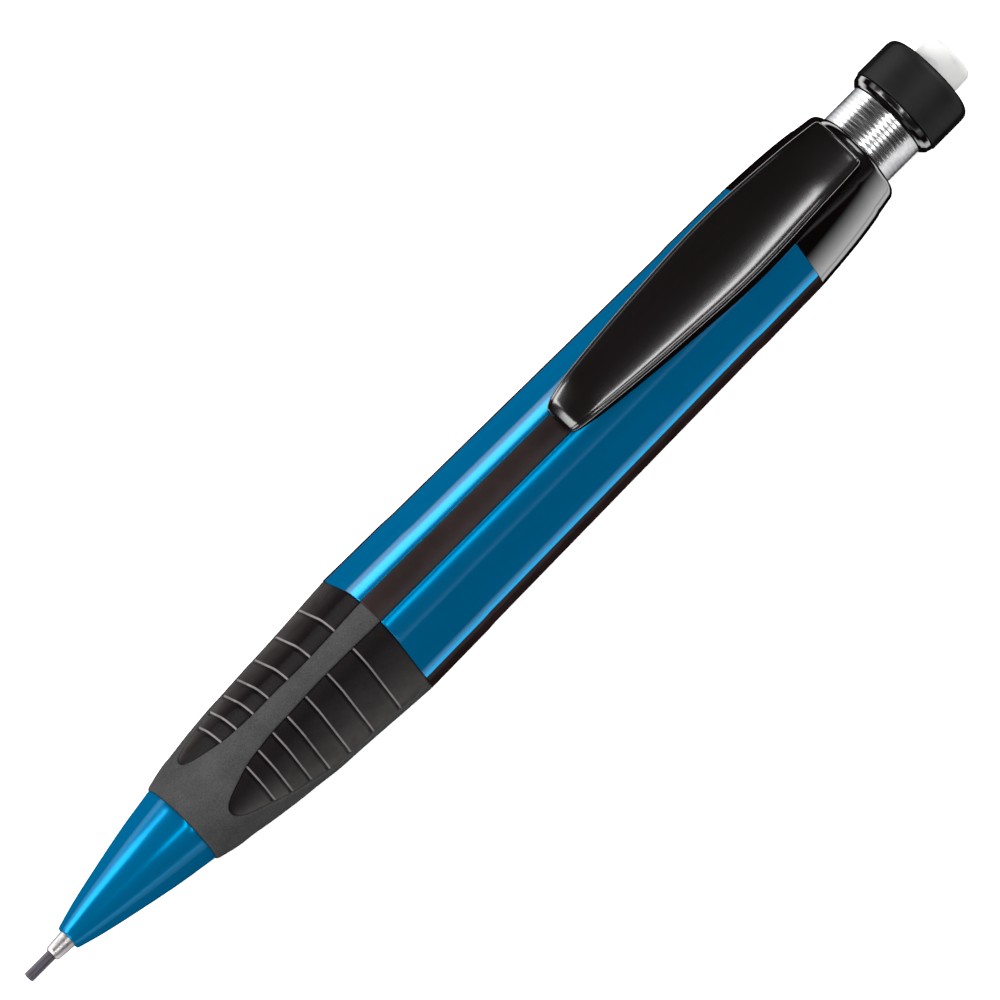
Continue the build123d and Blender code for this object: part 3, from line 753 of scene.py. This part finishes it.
def pad_limits(station):
    """(from, to) angles of the left, right and bottom pads, going round anticlockwise."""
    spread, corner = section(GRIP_SECTIONS, station)
    along = sqrt(max(0, min(station, PAD_END) - PAD_START))
    up = smooth(UPPER_EDGE, along)
    left_face, right_face, bottom_face = pi / 6, pi * 5 / 6, pi * 3 / 2
    left = (
        face_angle(spread, corner, left_face, smooth(LOWER_EDGE, along)),
        face_angle(spread, corner, left_face, up),
    )
    right = (
        2 * right_face - face_angle(spread, corner, right_face, up),
        2 * right_face - face_angle(spread, corner, right_face, smooth(LOWER_EDGE, along)),
    )
    half = smooth(BOTTOM_EDGE, along)
    bottom = (
        face_angle(spread, corner, bottom_face, -half),
        face_angle(spread, corner, bottom_face, half),
    )
    return {"left": left, "right": right, "bottom": bottom}


def grip_stations():
    """Rows of the grip: close together at the ends, the pads' tips and the grooves."""
    rows = [GRIP_START + e for e in (0, 0.02, 0.06, 0.12, 0.2, 0.32, 0.5)]
    rows += spread_out(GRIP_START + 0.8, PAD_START - 0.2, 8)
    rows += [PAD_START + e**2 for e in spread_out(0, 1.2, 14)]
    rows += spread_out(PAD_START + 1.7, PAD_END - 0.3, 80)
    for groove in GROOVES:
        rows = [r for r in rows if not groove - 0.42 < r < groove + 0.54]
        rows += [groove + e for e, drop in GROOVE_SHAPE]
    rows += [GRIP_END - e for e in (0.2, 0.15, 0.08, 0.03, 0)]
    return sorted(set(round(r, 4) for r in rows))


def groove_painted_light(station, share):
    """Painted light on the rubber: a painted highlight on the grooves' chamfers, and some
    painted light lower down, away from the upper ridge.
    """
    for groove in GROOVES:
        if CHAMFER[0] < station - groove < CHAMFER[1]:
            return 1.0
    return 0.3 * share**2


def groove_drop(station):
    """Depth of the grooves at a station."""
    for groove in GROOVES:
        if GROOVE_SHAPE[0][0] < station - groove < GROOVE_SHAPE[-1][0]:
            return smooth(GROOVE_SHAPE, station - groove)
    return 0


# rounding of the sleeve's edges beside the pads: (distance from the edge, drop)
PAD_EDGE = [(0.0, 0.20), (0.05, 0.10), (0.14, 0.03), (0.3, 0.0)]


def sleeve_columns(station):
    """Three lands between pockets for the pads, going round from the right pad."""
    limits = pad_limits(station)
    radius = sum(section(GRIP_SECTIONS, station))
    order = [limits["right"], limits["bottom"], tuple(a + 2 * pi for a in limits["left"])]
    inside = station > PAD_START
    columns = []
    for i, (a, b) in enumerate(order):
        depth = PAD_DEPTH if inside else 0
        columns += [(angle, depth) for angle in spread_out(a + 0.001, b - 0.001, 16)]
        following = order[(i + 1) % 3][0] + (2 * pi if i == 2 else 0)
        width = (following - b) * radius
        offsets = [e for e, drop in PAD_EDGE]
        middle = spread_out(offsets[-1], width - offsets[-1], 14)
        for e in offsets[:-1] + middle + [width - e for e in reversed(offsets[:-1])]:
            near = max(0, min(e, width - e))
            columns.append((b + e / radius, smooth(PAD_EDGE, near) if inside else 0))
    return columns


GRIP_ROWS = grip_stations()
sleeve_rows = [s for s in GRIP_ROWS if not PAD_START < s < PAD_START + 0.004]
put(
    tube("grip_skin", sleeve_rows, sleeve_columns, grip_surface, GRIP_BORE),
    "barrel", "grip_sleeve", grip_grey,
)
pad_rows = [s for s in GRIP_ROWS if s > PAD_START + 0.02]
for name in ("left", "right", "bottom"):
    rows = []
    for station in pad_rows:
        a, b = pad_limits(station)[name]
        radius = sum(section(GRIP_SECTIONS, station))
        width = (b - a) * radius - 2 * SEAM
        tip = min(1, (station - PAD_START) / 0.5)
        row = []
        for k in range(PAD_COLUMNS):
            offset = width * (0.5 - 0.5 * cos(pi * k / (PAD_COLUMNS - 1)))
            angle = a + (SEAM + offset) / radius
            near = min(offset, width - offset)
            drop = PAD_RECESS + smooth([(0, 0.12), (0.06, 0.04), (0.2, 0)], near)
            drop += (1 - tip) * 0.1 + groove_drop(station)
            drop += smooth([(0, 0.1), (0.1, 0.02), (0.2, 0)], PAD_END - station)
            row.append((station, angle, grip_surface(station, angle) - drop))
        rows.append(row)
    # the pads carry a mark of painted light: painted highlights on the groove chamfers, paler lower
    # down
    put(
        patch(f"pad_{name}", rows, PAD_SLAB, painted_light_mark=groove_painted_light),
        "barrel", f"grip_pad_{name}", grip_black,
    )

# ------------------------------------------------------------------ end cap
CAP_ROUND = 0.9
CAP_COLUMNS = 240
CAP_BORE = 5.12
NOWHERE = (20, 21)  # further along a face than any point lies


def cap_surface(station, angle):
    """Radius of the end cap, its rear edge rounded."""
    spread, corner = section(CAP_SECTIONS, station)
    distance = outline(spread, corner, angle)
    rear = CAP_END - station
    if rear < CAP_ROUND:
        distance -= CAP_ROUND * (1 - sqrt(max(0, 1 - (1 - rear / CAP_ROUND) ** 2)))
    return distance - edge_drop(max(station - CAP_START, 0), 10)


cap_stations = [CAP_START + e for e, drop in EDGE_ROUND]
cap_stations += spread_out(CAP_START + 0.4, CAP_END - 1.0, 30)
cap_stations += [CAP_END - CAP_ROUND * (1 - sin(t)) for t in spread_out(0, pi / 2, 12)]
cap_shell = tube(
    "cap_shell", cap_stations,
    lambda station: [(2 * pi * k / CAP_COLUMNS, 0) for k in range(CAP_COLUMNS)],
    cap_surface, CAP_BORE,
)
mark_faces(cap_shell, CAP_SECTIONS, NOWHERE, (-3.6, 0.4))
put(cap_shell, "barrel", "end_cap", black_gloss)

# ------------------------------------------------------------------ clip
CLIP_START = station_of("clip", 0)
CLIP_LENGTH = 45.0
# half widths, tops and bottoms above the axis, by reach from the free end
CLIP_WIDTHS = [
    (0.0, 1.3), (0.12, 1.75), (0.45, 2.1), (1.3, 2.45), (4.9, 3.02), (16.2, 3.99), (27.5, 4.53),
    (38.8, 4.02), (43.9, 3.62), (44.5, 3.53), (44.8, 3.36), (44.95, 3.12), (CLIP_LENGTH, 2.85),
]
CLIP_TOP = [
    (0.0, 9.75), (0.3, 10.3), (1.5, 11.05), (4.9, 11.72), (16.2, 11.95), (27.0, 12.0),
    (37.9, 11.42), (43.9, 10.48), (44.7, 10.34), (44.92, 10.18), (CLIP_LENGTH, 9.95),
]
CLIP_BOTTOM = [
    (0.0, 9.4), (2.0, 9.35), (9.5, 8.9), (26.5, 7.85), (34.9, 7.45), (CLIP_LENGTH, 7.25),
]
CLIP_CROWN, CLIP_SHOULDER, CLIP_WALL, CLIP_ROOF = 0.48, 0.08, 1.1, 1.2
CLIP_HOLLOW = (3.0, 43.8)
CLIP_COLUMNS = 49


def clip_section(reach):
    """Closed section of the clip as (y, height): crowned top, rounded edges, hollow beneath."""
    half = smooth(CLIP_WIDTHS, reach)
    top = smooth(CLIP_TOP, reach)
    low = min(smooth(CLIP_BOTTOM, reach), top - 0.35)
    crown = CLIP_CROWN * (half / 4.5) ** 1.5
    bend = min(0.42, half * 0.2, (top - low) * 0.3)
    shoulder = CLIP_SHOULDER * min(1, half / 3)
    side_top = top - crown - shoulder
    roof = low + 0.02
    if CLIP_HOLLOW[0] < reach < CLIP_HOLLOW[1]:
        roof = max(roof, side_top - CLIP_ROOF)
    inner = max(half - CLIP_WALL, 0.3)
    points = []
    for k in range(CLIP_COLUMNS):
        share = sin(pi / 2 * (-1 + 2 * k / (CLIP_COLUMNS - 1)))
        points.append(((half - bend) * share, top - crown * share**2 - shoulder * share**16))
    for k in range(1, 9):
        turn = radians(18) + radians(72) * (k / 8) ** 1.6
        points.append((half - bend + bend * sin(turn), side_top - bend + bend * cos(turn)))
    points += [(half, low + 0.15), (half - 0.05, low + 0.04), (half - 0.16, low)]
    points += [(inner + 0.16, low), (inner + 0.05, low + 0.03), (inner, low + 0.1)]
    points += [(inner, max(roof - 0.2, low + 0.12)), (inner - 0.2, max(roof, low + 0.14))]
    mirrored = [(-y, z) for y, z in reversed(points[CLIP_COLUMNS:])]
    return points + mirrored


clip_reach = [e**2 for e in spread_out(0, 1.3, 22)] + spread_out(2.0, 43.2, 70)
clip_reach += [CLIP_LENGTH - e**2 for e in spread_out(1.2, 0, 18)]
clip_vertices = []
for reach in clip_reach:
    for y, z in clip_section(reach):
        clip_vertices.append(Vector((
            START_X + (CLIP_START + reach) * MM, y * MM, AXIS_Z + z * MM,
        )))
clip_width = len(clip_section(20))
clip_faces = grid_faces(len(clip_reach), clip_width, False, True)
last = (len(clip_reach) - 1) * clip_width
clip_faces += [tuple(range(clip_width)), tuple(last + k for k in range(clip_width))]
put(
    make_object("clip_arm", clip_vertices, clip_faces, 45),
    "clip", "clip", black_gloss,
)

# ------------------------------------------------------------------ push button, knob and eraser
BUTTON_START, BUTTON_END = station_of("button_sleeve", 0), station_of("button_sleeve", 1)
BUTTON_RADIUS, BUTTON_BORE = radius_of("button_sleeve"), 4.4
RIDGE_PITCH, RIDGE_DEPTH, RIDGE_START, RIDGE_STEPS = 0.56, 0.03, 128.0, 8
ridges = []
for k in range(int((BUTTON_END - RIDGE_START) / RIDGE_PITCH * RIDGE_STEPS)):
    wave = 0.5 - 0.5 * cos(2 * pi * k / RIDGE_STEPS)
    at = RIDGE_START + k * RIDGE_PITCH / RIDGE_STEPS
    ridges.append((at, BUTTON_RADIUS - RIDGE_DEPTH * wave, 0))
put(
    lathe("button_tube", rounded(
        [(BUTTON_START, BUTTON_BORE, 0), (BUTTON_START, BUTTON_RADIUS, 0.2)]
        + ridges
        + [(BUTTON_END, BUTTON_RADIUS, 0.05), (BUTTON_END, BUTTON_BORE, 0)]
    ), 180, 60),
    "button", "button_sleeve", chrome,
)
COLLAR_START, COLLAR_END = station_of("knob_collar", 0), station_of("knob_collar", 1)
KNOB_BORE, SEAM_GAP = 4.35, 0.02
put(
    lathe("knob_ring", rounded([
        (COLLAR_START, KNOB_BORE, 0), (COLLAR_START, 5.15, 0.12),
        (COLLAR_START + 0.12, 5.35, 0.1), (COLLAR_START + 0.5, 5.75, 0.3),
        (COLLAR_END - 0.1, 5.9, 0.1), (COLLAR_END, 5.78, 0.04), (COLLAR_END, KNOB_BORE, 0),
    ]), 180),
    "knob", "knob_collar", black_gloss,
)
KNOB_START, KNOB_END = station_of("knob", 0), station_of("knob", 1)
KNOB_RADIUS = radius_of("knob")
put(
    lathe("knob_grip", rounded([
        (KNOB_START + SEAM_GAP, KNOB_BORE, 0), (KNOB_START + SEAM_GAP, KNOB_RADIUS, 0.25),
        (KNOB_END, KNOB_RADIUS, 1.35), (KNOB_END, 3.42, 0.2), (141.0, 3.42, 0), (141.0, 4.3, 0),
    ], 10), 180),
    "knob", "knob", black_matte,
)
ERASER_START, ERASER_END = station_of("eraser", 0), station_of("eraser", 1)
ERASER_RADIUS = 3.2
put(
    lathe("eraser_stick", rounded([
        (ERASER_START, ON_AXIS, 0), (ERASER_START, ERASER_RADIUS, 0.1),
        (ERASER_END, ERASER_RADIUS, 1.0), (ERASER_END, ON_AXIS, 0),
    ], 10), 128, 60),
    "eraser", "eraser", vinyl,
)

# ------------------------------------------------------------------ camera
TURN, TILT, ROLL = radians(12.5), radians(7.5), radians(45)
AIM_STATION, AIM_SIDE = 75.5, 0.5
FIELD, DISTANCE = 0.112, 2.0
back = Vector((-sin(TILT), -sin(TURN) * cos(TILT), cos(TURN) * cos(TILT)))
along = (Vector((1, 0, 0)) - back * back.x).normalized()
aside = back.cross(along)
right = along * cos(ROLL) - aside * sin(ROLL)
upward = along * sin(ROLL) + aside * cos(ROLL)
aim = polar(AIM_STATION, 0, 0) + aside * AIM_SIDE * MM
camera_data = bpy.data.cameras.new("camera")
camera_data.type = "PERSP"
camera_data.lens = camera_data.sensor_width * DISTANCE / FIELD
camera_data.clip_start, camera_data.clip_end = 0.1, 10
camera = bpy.data.objects.new("camera", camera_data)
bpy.context.scene.collection.objects.link(camera)
camera.matrix_world = Matrix((
    (right.x, upward.x, back.x, aim.x + back.x * DISTANCE),
    (right.y, upward.y, back.y, aim.y + back.y * DISTANCE),
    (right.z, upward.z, back.z, aim.z + back.z * DISTANCE),
    (0, 0, 0, 1),
))
bpy.context.scene.camera = camera

# ------------------------------------------------------------------ floor and light
floor_mesh = bpy.data.meshes.new("floor")
FLOOR_HALF = 3
floor_mesh.from_pydata(
    [(x * FLOOR_HALF, y * FLOOR_HALF, 0) for x, y in ((-1, -1), (1, -1), (1, 1), (-1, 1))],
    [], [(0, 1, 2, 3)],
)
floor = bpy.data.objects.new("floor", floor_mesh)
bpy.context.scene.collection.objects.link(floor)
floor_shader = Shader("floor", Roughness=0.9, Base_Color=(0.93, 0.93, 0.93))
floor_mesh.materials.append(floor_shader.material)

world = bpy.data.worlds.new("studio")
bpy.context.scene.world = world
world.use_nodes = True
world.node_tree.nodes["Background"].inputs["Color"].default_value = (1, 1, 1, 1)
world.node_tree.nodes["Background"].inputs["Strength"].default_value = 0.06


def softbox(name, direction, distance, size, power):
    """Area light that faces the pencil from a direction."""
    data = bpy.data.lights.new(name, "AREA")
    data.shape = "RECTANGLE"
    data.size, data.size_y = size
    data.energy = power
    lamp = bpy.data.objects.new(name, data)
    bpy.context.scene.collection.objects.link(lamp)
    towards = Vector(direction).normalized()
    lamp.location = towards * distance
    lamp.rotation_mode = "QUATERNION"
    lamp.rotation_quaternion = towards.to_track_quat("Z", "Y")


def from_side(tilt, swing=0.0):
    """Direction at a tilt in degrees from straight up, towards +Y, swung towards +X."""
    return (
        sin(radians(swing)),
        sin(radians(tilt)) * cos(radians(swing)),
        cos(radians(tilt)) * cos(radians(swing)),
    )


# Tilts follow from the mirror angle of each face: the camera itself stands at -12.5 degrees.
# Each box is (direction, distance and size in metres, power in watts).
softbox("softbox_clip", from_side(-15, 6), 0.8, (0.66, 0.10), 4.2)
softbox("softbox_line", from_side(-38, 8), 0.8, (0.42, 0.10), 1.8)
softbox("softbox_nose", from_side(44, -27), 0.8, (0.42, 0.34), 8.0)
softbox("softbox_far", from_side(76, -6), 0.8, (0.85, 0.40), 8.0)
softbox("softbox_near", from_side(-84, -20), 0.9, (0.7, 0.12), 1.2)
softbox("softbox_tip", from_side(-6, -60), 0.8, (0.5, 0.4), 8.0)
softbox("softbox_end", from_side(-6, 60), 0.8, (0.5, 0.4), 9.5)

bpy.context.scene.view_settings.view_transform = "Standard"
